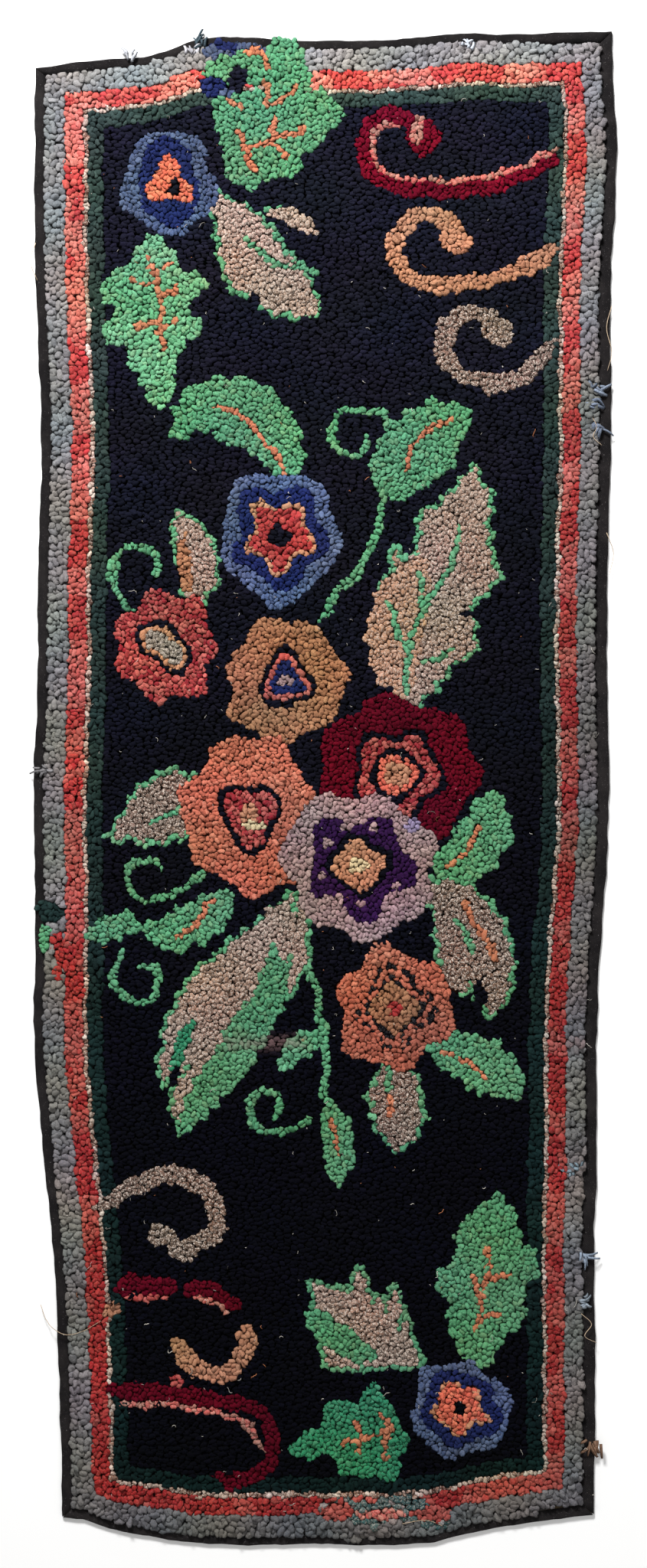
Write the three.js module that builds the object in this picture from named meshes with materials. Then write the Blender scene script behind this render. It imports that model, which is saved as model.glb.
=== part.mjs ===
// A hand-hooked rag rug, 27 by 70 inches: strips of wool pulled through a burlap foundation,
// face up on the floor. Its raw margin is wrapped on all four sides by black twill tape,
// folded round the edge and mitred at the corners.
// Millimetres. X runs across the rug, Y along it, Z up. The origin is the middle of the underside.
import * as THREE from "three";

// Thicknesses and heights over the floor
const TAPE_THICK = 0.9;
const CLEARANCE = 0.3;
const FOUNDATION_THICK = 1.5;
const PILE_TOP = 9.0;

// The hem: the tape's flap under the rug, and the lip that shows on its face, by side
const FLAP_WIDTH = 28;
const LIP_WIDTH = { left: 10.5, right: 11, top: 8, bottom: 8 };
const MITRE_CLEARANCE = 0.25;

// The pile's rim: how far its outer loops lean over the tape, how far they draw in at the corners,
// the height of its side and shoulder, and how far in its shoulder ends
const RIM_LEAN = 1.6;
const CORNER_PULL = 3.5;
const SIDE_TOP = 5.8;
const SHOULDER_LOW = 7.6;
const SHOULDER_HIGH = 8.7;
const SHOULDER_INSET = 2.2;
const FACE_INSET = 7;

// How finely the outline and the pile's face are divided
const CELLS_ACROSS = 26;
const CELLS_ALONG = 64;

// The long edges as the rug lies: x of each edge at stations along the rug. It narrows towards its lower end.
const LONG_EDGES = [
  { y: 846, left: -340, right: 337 },
  { y: 750, left: -341, right: 343 },
  { y: 603, left: -340, right: 336 },
  { y: 405, left: -333, right: 336 },
  { y: 256, left: -337, right: 332 },
  { y: 107, left: -338, right: 332 },
  { y: 9, left: -342, right: 334 },
  { y: -91, left: -341, right: 331 },
  { y: -190, left: -340, right: 323 },
  { y: -289, left: -342, right: 319 },
  { y: -437, left: -330, right: 319 },
  { y: -536, left: -320, right: 316 },
  { y: -635, left: -314, right: 317 },
  { y: -784, left: -310, right: 317 },
  { y: -852, left: -308, right: 315 },
];

// The short edges: y of each end at stations across the rug. The lower end bows out between its corners.
const SHORT_EDGES = [
  { x: -340, top: 846, bottom: -857 },
  { x: -290, top: 853, bottom: -857 },
  { x: -250, top: 856, bottom: -871 },
  { x: -205, top: 860, bottom: -879 },
  { x: -158, top: 877, bottom: -886 },
  { x: -110, top: 882, bottom: -889 },
  { x: -20, top: 877, bottom: -888 },
  { x: 85, top: 879, bottom: -889 },
  { x: 128, top: 883, bottom: -886 },
  { x: 170, top: 887, bottom: -874 },
  { x: 235, top: 885, bottom: -864 },
  { x: 290, top: 888, bottom: -856 },
  { x: 340, top: 889, bottom: -850 },
];

// How loops of uneven length make the rim's line wander in and out, as waves
const RIM_WAVES = [
  { across: 57, along: 82, phase: 0, height: 0.8 },
  { across: 145, along: -195, phase: 1, height: 0.5 },
];

// Slow swells of the face, as waves
const SWELLS = [
  { across: 420, along: 610, phase: 0.4, height: 0.45 },
  { across: -230, along: 290, phase: 1.9, height: 0.35 },
  { across: 160, along: -410, phase: 4.1, height: 0.3 },
];

// The worn fold that crosses the face, from where the rug was kept folded
const FOLD = { y: -272, slope: 0.03, halfWidth: 22, depth: 1.1 };

// A smooth curve through rows of a table, read as columns[value] against columns[at]
function curveThrough(rows, at, value) {
  const sorted = [...rows].sort((a, b) => a[at] - b[at]);
  const last = sorted.length - 1;
  const slopeAt = (i) => {
    const before = sorted[Math.max(i - 1, 0)];
    const after = sorted[Math.min(i + 1, last)];
    return (after[value] - before[value]) / (after[at] - before[at]);
  };
  return (where) => {
    const t = THREE.MathUtils.clamp(where, sorted[0][at], sorted[last][at]);
    let i = 0;
    while (i < last - 1 && sorted[i + 1][at] < t) i += 1;
    const span = sorted[i + 1][at] - sorted[i][at];
    const s = (t - sorted[i][at]) / span;
    const rise = s * s * (3 - 2 * s);
    const bendIn = s * (1 - s) * (1 - s) * span * slopeAt(i);
    const bendOut = s * s * (s - 1) * span * slopeAt(i + 1);
    return THREE.MathUtils.lerp(sorted[i][value], sorted[i + 1][value], rise) + bendIn + bendOut;
  };
}

const leftEdge = curveThrough(LONG_EDGES, "y", "left");
const rightEdge = curveThrough(LONG_EDGES, "y", "right");
const topEdge = curveThrough(SHORT_EDGES, "x", "top");
const bottomEdge = curveThrough(SHORT_EDGES, "x", "bottom");

// A place on the rug: u across and v along, each 0 to 1, between the four edges moved in by the insets
function placeOn(u, v, inset) {
  let x = 0;
  let y = 0;
  for (let step = 0; step < 6; step += 1) {
    y = THREE.MathUtils.lerp(bottomEdge(x) + inset.bottom, topEdge(x) - inset.top, v);
    x = THREE.MathUtils.lerp(leftEdge(y) + inset.left, rightEdge(y) - inset.right, u);
  }
  return { x, y };
}

// Insets that are the same on all sides, or that count from the inner edge of the tape's lip
const fromEdge = (d) => ({ left: d, right: d, top: d, bottom: d });
const fromLip = (d) => ({
  left: LIP_WIDTH.left + d,
  right: LIP_WIDTH.right + d,
  top: LIP_WIDTH.top + d,
  bottom: LIP_WIDTH.bottom + d,
});

// The sum of some waves at a place
function waveHeight(waves, x, y) {
  let sum = 0;
  for (const wave of waves) {
    sum += wave.height * Math.sin(2 * Math.PI * (x / wave.across + y / wave.along) + wave.phase);
  }
  return sum;
}

// The height of the face over the floor
function faceHeight(x, y) {
  const fromFold = (y - FOLD.y - FOLD.slope * x) / FOLD.halfWidth;
  return PILE_TOP + waveHeight(SWELLS, x, y) - FOLD.depth * Math.exp(-fromFold * fromFold);
}

// The (u, v) of each point round the rug, counterclockwise from its lower left corner
function ringStations() {
  const stations = [];
  for (let i = 0; i < CELLS_ACROSS; i += 1) stations.push({ u: i / CELLS_ACROSS, v: 0 });
  for (let j = 0; j < CELLS_ALONG; j += 1) stations.push({ u: 1, v: j / CELLS_ALONG });
  for (let i = CELLS_ACROSS; i > 0; i -= 1) stations.push({ u: i / CELLS_ACROSS, v: 1 });
  for (let j = CELLS_ALONG; j > 0; j -= 1) stations.push({ u: 0, v: j / CELLS_ALONG });
  return stations;
}

// A mesh being built: points are numbered as they are added
class Shell {
  points = [];
  faces = [];

  add(x, y, z) {
    this.points.push(x, y, z);
    return this.points.length / 3 - 1;
  }

  quad(a, b, c, d) {
    this.faces.push(a, b, c, a, c, d);
  }

  // Joins two closed rings of the same length. The second lies further along the surface.
  band(ring, next) {
    ring.forEach((point, i) => {
      const after = (i + 1) % ring.length;
      this.quad(point, ring[after], next[after], next[i]);
    });
  }

  geometry() {
    const made = new THREE.BufferGeometry();
    made.setAttribute("position", new THREE.Float32BufferAttribute(this.points, 3));
    made.setIndex(this.faces);
    made.computeVertexNormals();
    return made;
  }
}

// The cloth's underside rises over the tape's flap. The pile's side rises from the lip and leans out over it.
const HEM_TOP = TAPE_THICK + CLEARANCE;
const MARGIN_TOP = HEM_TOP + FOUNDATION_THICK;
const LIP_UNDER = MARGIN_TOP + CLEARANCE;
const LIP_TOP = LIP_UNDER + TAPE_THICK;
const HEM_SLOPE = 4;
const MARGIN_EDGE = TAPE_THICK + CLEARANCE;
const CLOTH_RINGS = [
  { inset: fromEdge(FLAP_WIDTH + CLEARANCE + HEM_SLOPE), z: 0 },
  { inset: fromEdge(FLAP_WIDTH + CLEARANCE), z: HEM_TOP },
  { inset: fromEdge(MARGIN_EDGE), z: HEM_TOP },
  { inset: fromEdge(MARGIN_EDGE), z: MARGIN_TOP },
  { inset: fromLip(CLEARANCE), z: MARGIN_TOP, rounded: true },
  { inset: fromLip(CLEARANCE), z: LIP_TOP + CLEARANCE, rounded: true },
  { inset: fromLip(-RIM_LEAN), z: SIDE_TOP, rounded: true, wanders: true },
  { inset: fromLip(-RIM_LEAN / 2), z: SHOULDER_LOW, rounded: true, wanders: true },
  { inset: fromLip(SHOULDER_INSET), z: SHOULDER_HIGH, rounded: true, wanders: true },
];

// The hooked cloth: foundation and looped pile in one piece
function hookedCloth() {
  const shell = new Shell();
  const stations = ringStations();
  const rings = CLOTH_RINGS.map((row) =>
    stations.map(({ u, v }) => {
      const atCorner = (u === 0 || u === 1) && (v === 0 || v === 1);
      const place = placeOn(u, v, row.inset);
      const out = row.wanders ? waveHeight(RIM_WAVES, place.x, place.y) : 0;
      const pull = (row.rounded && atCorner ? CORNER_PULL : 0) - out;
      const moved = Object.fromEntries(Object.entries(row.inset).map(([side, d]) => [side, d + pull]));
      const { x, y } = placeOn(u, v, moved);
      return shell.add(x, y, row.z);
    }),
  );
  rings.slice(1).forEach((ring, i) => shell.band(rings[i], ring));

  const contour = rings[0].map((i) => new THREE.Vector2(shell.points[3 * i], shell.points[3 * i + 1]));
  for (const [a, b, c] of THREE.ShapeUtils.triangulateShape(contour, [])) {
    shell.faces.push(rings[0][a], rings[0][c], rings[0][b]);
  }

  const face = [];
  for (let j = 0; j <= CELLS_ALONG; j += 1) {
    for (let i = 0; i <= CELLS_ACROSS; i += 1) {
      const { x, y } = placeOn(i / CELLS_ACROSS, j / CELLS_ALONG, fromLip(FACE_INSET));
      face.push(shell.add(x, y, faceHeight(x, y)));
    }
  }
  const at = (i, j) => face[j * (CELLS_ACROSS + 1) + i];
  for (let j = 0; j < CELLS_ALONG; j += 1) {
    for (let i = 0; i < CELLS_ACROSS; i += 1) {
      shell.quad(at(i, j), at(i + 1, j), at(i + 1, j + 1), at(i, j + 1));
    }
  }
  const faceRim = stations.map(({ u, v }) =>
    at(Math.round(u * CELLS_ACROSS), Math.round(v * CELLS_ALONG)),
  );
  shell.band(rings[rings.length - 1], faceRim);
  return shell.geometry();
}

// The tape's section, round from the lip's inner edge, over the fold and under to the flap's inner edge and back
const FOLD_ROUND = 0.7;
function tapeSection(lip) {
  return [
    { inset: lip, z: LIP_TOP },
    { inset: FOLD_ROUND, z: LIP_TOP },
    { inset: 0, z: LIP_TOP - FOLD_ROUND },
    { inset: 0, z: FOLD_ROUND },
    { inset: FOLD_ROUND, z: 0 },
    { inset: FLAP_WIDTH, z: 0 },
    { inset: FLAP_WIDTH, z: TAPE_THICK },
    { inset: TAPE_THICK, z: TAPE_THICK },
    { inset: TAPE_THICK, z: LIP_UNDER },
    { inset: lip, z: LIP_UNDER },
  ];
}

// Each side of the binding: where its stations lie, and which ends are mitred
const SIDES = [
  { name: "left", cells: CELLS_ALONG, at: (t) => ({ u: 0, v: 1 - t }), ends: ["top", "bottom"] },
  { name: "bottom", cells: CELLS_ACROSS, at: (t) => ({ u: t, v: 0 }), ends: ["left", "right"] },
  { name: "right", cells: CELLS_ALONG, at: (t) => ({ u: 1, v: t }), ends: ["top", "bottom"] },
  { name: "top", cells: CELLS_ACROSS, at: (t) => ({ u: 1 - t, v: 1 }), ends: ["left", "right"] },
];

function bindingTape(side) {
  const shell = new Shell();
  const section = tapeSection(LIP_WIDTH[side.name]);
  const rings = [];
  for (let i = 0; i <= side.cells; i += 1) {
    const { u, v } = side.at(i / side.cells);
    rings.push(
      section.map(({ inset, z }) => {
        const insets = fromEdge(inset);
        for (const end of side.ends) insets[end] += MITRE_CLEARANCE;
        const { x, y } = placeOn(u, v, insets);
        return shell.add(x, y, z);
      }),
    );
  }
  rings.slice(1).forEach((ring, i) => shell.band(rings[i], ring));
  const outline = section.map(({ inset, z }) => new THREE.Vector2(inset, z));
  const first = rings[0];
  const last = rings[rings.length - 1];
  for (const [a, b, c] of THREE.ShapeUtils.triangulateShape(outline, [])) {
    shell.faces.push(first[a], first[c], first[b]);
    shell.faces.push(last[a], last[b], last[c]);
  }
  return shell.geometry();
}

const wool = new THREE.MeshStandardMaterial({
  name: "hooked_wool",
  color: 0x14141c,
  roughness: 0.95,
  metalness: 0,
});
const twill = new THREE.MeshStandardMaterial({
  name: "twill_tape",
  color: 0x1c1714,
  roughness: 0.9,
  metalness: 0,
});

const rug = new THREE.Group();
function addPiece(name, geometry, material) {
  const mesh = new THREE.Mesh(geometry, material);
  mesh.name = name;
  rug.add(mesh);
}

addPiece("hooked_cloth", hookedCloth(), wool);
for (const side of SIDES) addPiece(`binding_${side.name}`, bindingTape(side), twill);

// The origin goes to the middle of the whole rug's underside.
const middle = new THREE.Box3().setFromObject(rug).getCenter(new THREE.Vector3());
for (const piece of rug.children) piece.position.set(-middle.x, -middle.y, 0);

export default rug;
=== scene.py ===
"""A hand-hooked wool rug with flowers, leaves and scrolls on a dark ground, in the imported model's frame."""

import bpy
import numpy as np
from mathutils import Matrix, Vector


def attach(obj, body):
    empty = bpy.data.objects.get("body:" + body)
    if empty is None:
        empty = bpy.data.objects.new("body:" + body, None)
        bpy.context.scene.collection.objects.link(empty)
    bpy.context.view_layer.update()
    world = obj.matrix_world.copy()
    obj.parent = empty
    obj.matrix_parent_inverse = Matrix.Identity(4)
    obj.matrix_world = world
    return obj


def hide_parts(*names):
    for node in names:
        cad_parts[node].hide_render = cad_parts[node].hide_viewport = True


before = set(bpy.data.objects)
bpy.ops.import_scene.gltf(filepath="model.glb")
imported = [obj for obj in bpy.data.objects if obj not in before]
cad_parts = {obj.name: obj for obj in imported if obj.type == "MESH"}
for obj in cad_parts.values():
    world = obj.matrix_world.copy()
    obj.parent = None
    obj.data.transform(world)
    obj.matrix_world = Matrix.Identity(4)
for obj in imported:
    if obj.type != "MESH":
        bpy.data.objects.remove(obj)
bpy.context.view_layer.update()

# Sizes are millimetres here, and metres in the meshes
MM = 0.001
rng = np.random.default_rng(27)

# The CAD model's thicknesses, heights over the floor, swells and crease, which the cloth follows
CLEARANCE = 0.3
TAPE_THICK = 0.9
FOUNDATION_THICK = 1.5
FLAP_WIDTH = 28.0
FOLD_ROUND = 0.7
HEM_TOP = TAPE_THICK + CLEARANCE
MARGIN_TOP = HEM_TOP + FOUNDATION_THICK
LIP_UNDER = MARGIN_TOP + CLEARANCE
LIP_TOP = LIP_UNDER + TAPE_THICK
PILE_TOP = 9.0
SWELLS = [(420, 610, 0.4, 0.45), (-230, 290, 1.9, 0.35), (160, -410, 4.1, 0.3)]
CREASE_Y, CREASE_SLOPE, CREASE_HALF, CREASE_DEPTH = -272.0, 0.03, 22.0, 1.1

# How wide the tape shows on each side of the face
LIP = {"left": 13.0, "right": 16.0, "top": 11.5, "bottom": 11.0}


def edge_line(node, along, across):
    """The outer wall of one binding tape: where it lies across the rug, at each place along it."""
    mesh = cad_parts[node].data
    points = np.zeros(len(mesh.vertices) * 3, np.float32)
    mesh.vertices.foreach_get("co", points)
    points = points.reshape(-1, 3) / MM
    near = 0.05
    wall = points[np.abs(points[:, 2] - FOLD_ROUND) < near]
    places, first = np.unique(np.round(wall[:, along], 2), return_index=True)
    return places, wall[first, across]


LEFT = edge_line("binding_left", 1, 0)
RIGHT = edge_line("binding_right", 1, 0)
TOP = edge_line("binding_top", 0, 1)
BOTTOM = edge_line("binding_bottom", 0, 1)
PLACE_ROUNDS = 6


def place(u, v, left, right, bottom, top):
    """A place between the four edges, each moved in by its inset. u runs across and v along, 0 to 1."""
    x = np.zeros_like(u)
    for _ in range(PLACE_ROUNDS):
        low = np.interp(x, *BOTTOM) + bottom
        high = np.interp(x, *TOP) - top
        y = low + (high - low) * v
        near = np.interp(y, *LEFT) + left
        far = np.interp(y, *RIGHT) - right
        x = near + (far - near) * u
    return x, y


def inset_at(x, y):
    """How far a place lies from the nearest edge."""
    return np.minimum(
        np.minimum(x - np.interp(y, *LEFT), np.interp(y, *RIGHT) - x),
        np.minimum(y - np.interp(x, *BOTTOM), np.interp(x, *TOP) - y),
    )


def face_height(x, y):
    """How high the pile's face stands over the floor."""
    swell = sum(h * np.sin(2 * np.pi * (x / a + y / b) + p) for a, b, p, h in SWELLS)
    off = (y - CREASE_Y - CREASE_SLOPE * x) / CREASE_HALF
    return PILE_TOP + swell - CREASE_DEPTH * np.exp(-off * off)


def ripple(x, y, size, phase=0.0):
    """A smooth uneven wave between about -1 and 1, of about the given size."""
    return (
        np.sin(x / size + 1.3 * np.sin(y / (1.7 * size) + phase) + phase)
        + np.sin(y / (0.8 * size) + 1.1 * np.sin(x / (1.3 * size) - phase) + 2.1 * phase)
    ) / 2


# The chart: one wool number for each small square of the face
PITCH = 0.8
CHART_X, CHART_Y = 348, 892
XS = np.arange(-CHART_X, CHART_X, PITCH)
YS = np.arange(-CHART_Y, CHART_Y, PITCH)
X, Y = np.meshgrid(XS, YS)
INSET = inset_at(X, Y)

# How the chart's places stray, as an uneven hand hooks them. Each row: how far, the sizes of its two waves,
# across and along, and where they start
STRAYS = [(2.6, 9, 8, 0.7, 3.1), (1.7, 3.7, 4.0, 2.0, 5.0), (2.0, 1.5, 1.6, 3.3, 0.9)]
HAND_X = sum((far * ripple(X, Y, size, start) for far, size, _, start, _ in STRAYS), X)
HAND_Y = sum((far * ripple(X, Y, size, start) for far, _, size, _, start in STRAYS), Y)
STRAY_MOST = 8

# Each wool: its loops' area in square millimetres, how long they are, how flecked it is, and its mixture:
# the share of each shade and its 8-bit red, green and blue
WOOLS = {
    "bare": (0, 1, 0, []),
    "ground": (38, 1.2, 0, [(6, 15, 16, 25), (3, 23, 23, 36), (1, 11, 12, 18)]),
    "grey": (52, 1.15, 0.05, [(5, 135, 133, 136), (3, 121, 121, 127), (3, 149, 147, 149)]),
    "coral": (38, 1.0, 0.05, [(4, 198, 102, 92), (3, 212, 132, 120), (1, 190, 68, 66)]),
    "red": (38, 1.0, 0.05, [(3, 188, 62, 62), (2, 172, 44, 54), (2, 204, 94, 84)]),
    "cream": (25, 1.0, 0.5, [(5, 188, 166, 150), (1, 224, 208, 192), (4, 146, 112, 94), (2, 104, 72, 60)]),
    "dark green": (44, 1.2, 0.0, [(4, 38, 56, 52), (2, 52, 72, 66), (1, 31, 44, 42)]),
    "green": (35, 1.1, 0.05, [(5, 85, 152, 111), (3, 74, 139, 99), (2, 95, 161, 120), (2, 108, 152, 110)]),
    "emerald": (34, 1.1, 0.05, [(4, 40, 126, 88), (3, 52, 138, 98), (1, 80, 156, 116)]),
    "rust": (34, 1.3, 0.05, [(3, 180, 108, 78), (2, 198, 128, 94)]),
    "beige": (32, 1.1, 0.7, [(3, 162, 132, 116), (2, 182, 154, 138), (1, 140, 110, 94)]),
    "tan": (32, 1.1, 0.5, [(3, 164, 124, 94), (2, 180, 140, 112)]),
    "brown": (32, 1.1, 0.75, [(3, 116, 90, 78), (2, 138, 112, 98), (1, 86, 64, 54)]),
    "ash": (30, 1.1, 0.6, [(3, 140, 130, 120), (2, 112, 102, 94)]),
    "crimson": (34, 1.1, 0.0, [(3, 97, 8, 28), (2, 80, 5, 24)]),
    "pink": (30, 1.1, 0.2, [(3, 196, 100, 92), (2, 172, 116, 102), (1, 206, 140, 124)]),
    "gold": (34, 1.2, 0.05, [(3, 189, 136, 104), (2, 171, 116, 87)]),
    "camel": (35, 1.2, 0.0, [(3, 161, 113, 83), (2, 143, 96, 71), (1, 176, 131, 97)]),
    "orange": (35, 1.2, 0.0, [(3, 190, 108, 86), (2, 170, 92, 74), (1, 210, 136, 112)]),
    "blue": (33, 1.1, 0.05, [(3, 72, 88, 122), (2, 96, 112, 144), (2, 58, 73, 108)]),
    "navy": (33, 1.1, 0.0, [(3, 28, 36, 82), (2, 36, 46, 94)]),
    "mauve": (33, 1.1, 0.15, [(3, 154, 122, 124), (2, 176, 147, 145), (1, 128, 99, 107)]),
    "purple": (33, 1.1, 0.0, [(7, 50, 22, 66), (3, 42, 19, 54)]),
    "salmon": (31, 1.1, 0.05, [(4, 214, 104, 82), (3, 200, 86, 72), (2, 224, 134, 104)]),
    "rose": (33, 1.1, 0.05, [(3, 154, 58, 58), (3, 175, 87, 80), (2, 136, 34, 43)]),
    "yellow": (30, 1.1, 0.05, [(1, 208, 190, 148)]),
    "lilac": (33, 1.1, 0.05, [(1, 150, 130, 160)]),
    "teal": (34, 1.1, 0.3, [(3, 56, 92, 92), (2, 78, 104, 102), (1, 136, 128, 126)]),
    "half dark": (24, 1.1, 0.05, [(7, 13, 14, 21), (2, 176, 96, 74)]),
    "pale green": (35, 1.1, 0.05, [
        (5, 99, 166, 122), (3, 84, 153, 108), (2, 116, 172, 134), (3, 124, 166, 122),
    ]),
}
NUMBER = {name: number for number, name in enumerate(WOOLS)}
chart = np.zeros(X.shape, np.int16)

# Painted light falloff: how much paler or darker the wools are painted at five stations from the lower end
# up, mostly lighter towards the upper end and darker towards the lower end: some in red, green and blue
# apart, the others evenly
STATIONS = [-890, -780, -300, 300, 890]
PAINTED_FALLOFFS = {
    "ground": ([0.18, 0.2, 0.31, 0.97, 1.6], [0.18, 0.2, 0.31, 0.97, 1.6], [0.24, 0.27, 0.42, 1, 1.72]),
    "dark green": ([0.15, 0.17, 0.33, 1, 1.6], [0.27, 0.28, 0.46, 0.9, 1.36], [0.3, 0.31, 0.5, 0.9, 1.36]),
    "grey": ([0.43, 0.66, 0.72, 0.83, 1.02], [0.43, 0.67, 0.71, 0.84, 1.06], [0.4, 0.62, 0.66, 0.81, 1.07]),
    "coral": (
        [0.52, 0.61, 0.62, 0.79, 1.15], [0.38, 0.44, 0.45, 0.73, 1.28], [0.37, 0.42, 0.45, 0.73, 1.24],
    ),
}
PAINTED_FALLOFFS["red"] = PAINTED_FALLOFFS["coral"]
EVEN_PAINTED_FALLOFFS = {
    "crimson": [0.72, 0.8, 0.88, 0.94, 1.6],
    "beige": [0.7, 0.76, 0.86, 0.8, 1.25],
    "orange": [0.64, 0.7, 0.76, 1.1, 1.1],
    "blue": [0.74, 0.82, 0.9, 1.0, 0.8],
}
OTHER_PAINTED_FALLOFF = [0.74, 0.82, 0.9, 1.0, 0.98]
# The wools whose strips differ most from one another
STREAKED = ("cream", "pink", "teal", "half dark", "rose")


def window(points, margin):
    """The part of the chart that holds the points, with a margin round them."""
    low = points.min(0) - margin
    high = points.max(0) + margin
    cols = slice(*np.searchsorted(XS, (low[0], high[0])))
    rows = slice(*np.searchsorted(YS, (low[1], high[1])))
    return rows, cols


def curve(points, steps=10):
    """A smooth line through a few points."""
    points = np.array(points, float)
    ends = np.vstack([2 * points[0] - points[1], points, 2 * points[-1] - points[-2]])
    line = []
    for a, b, c, d in zip(ends, ends[1:], ends[2:], ends[3:]):
        for t in np.linspace(0, 1, steps, endpoint=False):
            bend = 2 * b + (c - a) * t + (2 * a - 5 * b + 4 * c - d) * t**2
            line.append(0.5 * (bend + (3 * b - a - 3 * c + d) * t**3))
    line.append(points[-1])
    return np.array(line)


def beside(line, margin):
    """For the squares near a line: their window, distance, share of the way along it, and side of it."""
    rows, cols = window(line, margin)
    px, py = HAND_X[rows, cols], HAND_Y[rows, cols]
    best = np.full(px.shape, np.inf)
    where = np.zeros(px.shape)
    side = np.ones(px.shape)
    lengths = np.concatenate([[0], np.cumsum(np.hypot(*np.diff(line, axis=0).T))])
    for i, (a, b) in enumerate(zip(line, line[1:])):
        step = b - a
        size = np.hypot(*step) + 1e-9
        t = np.clip(((px - a[0]) * step[0] + (py - a[1]) * step[1]) / size**2, 0, 1)
        dx, dy = px - a[0] - t * step[0], py - a[1] - t * step[1]
        far = np.hypot(dx, dy)
        closer = far < best
        best[closer] = far[closer]
        where[closer] = ((lengths[i] + t * size) / lengths[-1])[closer]
        side[closer] = np.sign(step[0] * dy - step[1] * dx)[closer]
    return rows, cols, best, where, side


# The share of a line that narrows at each end, the points of a curl, a lining's gap and half width, the
# width of a rim, and the depth and spacing of a leaf's teeth, which are shallower on a narrower leaf
END_SHARE = 0.12
CURL_POINTS = 9
LINING_GAP, LINING_HALF = 3, 3.8
RIM = 6.0
TOOTH, TOOTH_EVERY, TOOTHED_HALF = 3.4, 22, 30


def stroke(wool, points, half, taper=0.25):
    """A hooked line of some width, narrower at its ends."""
    line = curve(points)
    rows, cols, far, where, _ = beside(line, half + STRAY_MOST)
    ends = np.minimum(1, np.minimum(where, 1 - where) / END_SHARE + 1 - taper * 2)
    chart[rows, cols][far < half * ends] = NUMBER[wool]


def scroll(wool, tail, curl, radii, turn, half, lining=None):
    """A scroll: a tail that runs into a curl about its centre, wound from the first radius to the second.
    turn is where the curl starts and how far it turns. A lining is a wool and its share of the length."""
    turns = np.radians(np.linspace(turn[0], turn[0] + turn[1], CURL_POINTS))
    wound = np.linspace(*radii, CURL_POINTS)

    def curled(reach):
        return [(curl[0] + r * np.cos(a), curl[1] + r * np.sin(a)) for a, r in zip(turns, reach)]

    stroke(wool, list(tail) + curled(wound), half, 0.2)
    if lining:
        path = [(x, y + half + LINING_GAP) for x, y in tail] + curled(wound - half - LINING_GAP)
        stroke(lining[0], path[: int(lining[1] * len(path))], LINING_HALF, 0.2)


def zigzag(t):
    """A wave of straight slopes between -1 and 1."""
    return 4 * np.abs(t - np.floor(t + 0.5)) - 1


def leaf(wool, spine, half, full=0.5, lobes=0, depth=0.0, belly=1.0, rim=None):
    """A leaf about its spine, with uneven teeth, blunter where full is small. Its two sides are lobed in
    turn. It is widest nearer its first end where belly is under 1."""
    line = curve(spine)
    rows, cols, far, where, side = beside(line, half * (1 + depth) + STRAY_MOST)
    bulge = 1 + depth * zigzag(lobes * where + 0.25 * side)
    wide = half * np.sin(np.pi * np.clip(where, 0.001, 0.999) ** belly) ** full * bulge
    length = np.hypot(*np.diff(line, axis=0).T).sum()
    wide = wide + TOOTH * min(1, half / TOOTHED_HALF) * zigzag(where * length / TOOTH_EVERY + 0.3 * side)
    inside = far < wide
    chart[rows, cols][inside] = NUMBER[wool]
    if rim:
        chart[rows, cols][inside & (wide - far < RIM)] = NUMBER[rim]


def leaves(wool, shapes, rim=None):
    """Leaves, or parts of one, in the same wool. Each is what a leaf takes after its wool."""
    for shape in shapes:
        leaf(wool, *shape, rim=rim)


def veins(lines, wool="rust"):
    """Thin lines on a leaf. Each is its points and its half width."""
    for points, half in lines:
        stroke(wool, points, half)


def patch(wool, corners, rim):
    """A shape with straight sides between a few corners, and a rim in another wool."""
    corners = np.array(corners, float)
    outline = np.vstack([corners, corners[:1]])
    rows, cols, far, _, _ = beside(outline, STRAY_MOST)
    px, py = HAND_X[rows, cols], HAND_Y[rows, cols]
    inside = np.zeros(px.shape, bool)
    for (ax, ay), (bx, by) in zip(outline, outline[1:]):
        inside ^= ((ay > py) != (by > py)) & (px < ax + (py - ay) * (bx - ax) / (by - ay))
    chart[rows, cols][inside] = NUMBER[wool]
    chart[rows, cols][inside & (far < RIM)] = NUMBER[rim]


def flower(x, y, wide, tall, layers):
    """A flower of nested shapes. Each is its wool, share of the reach, lobes, their depth and their turn."""
    rows, cols = window(np.array([[x - wide, y - tall], [x + wide, y + tall]]), 14)
    dx = (HAND_X[rows, cols] - x) / wide
    dy = (HAND_Y[rows, cols] - y) / tall
    angle = np.arctan2(dy, dx)
    far = np.hypot(dx, dy)
    for wool, share, lobes, depth, turn in layers:
        edge = share * (1 + depth * np.cos(lobes * (angle - np.radians(turn))))
        edge = edge * (1 + 0.04 * np.sin(2 * angle + x / 20 + share) + 0.035 * np.sin(3 * angle + y / 15))
        chart[rows, cols][far < edge] = NUMBER[wool]


def blob(wool, x, y, wide, tall, lobes=3, depth=0.1, turn=0):
    """A rounded spot in one wool."""
    flower(x, y, wide, tall, [(wool, 1, lobes, depth, turn)])


# How far in from the edge each band starts
CORAL_FROM, CREAM_FROM, GREEN_FROM, GROUND_FROM = 36.5, 57.5, 62.8, 80


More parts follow.
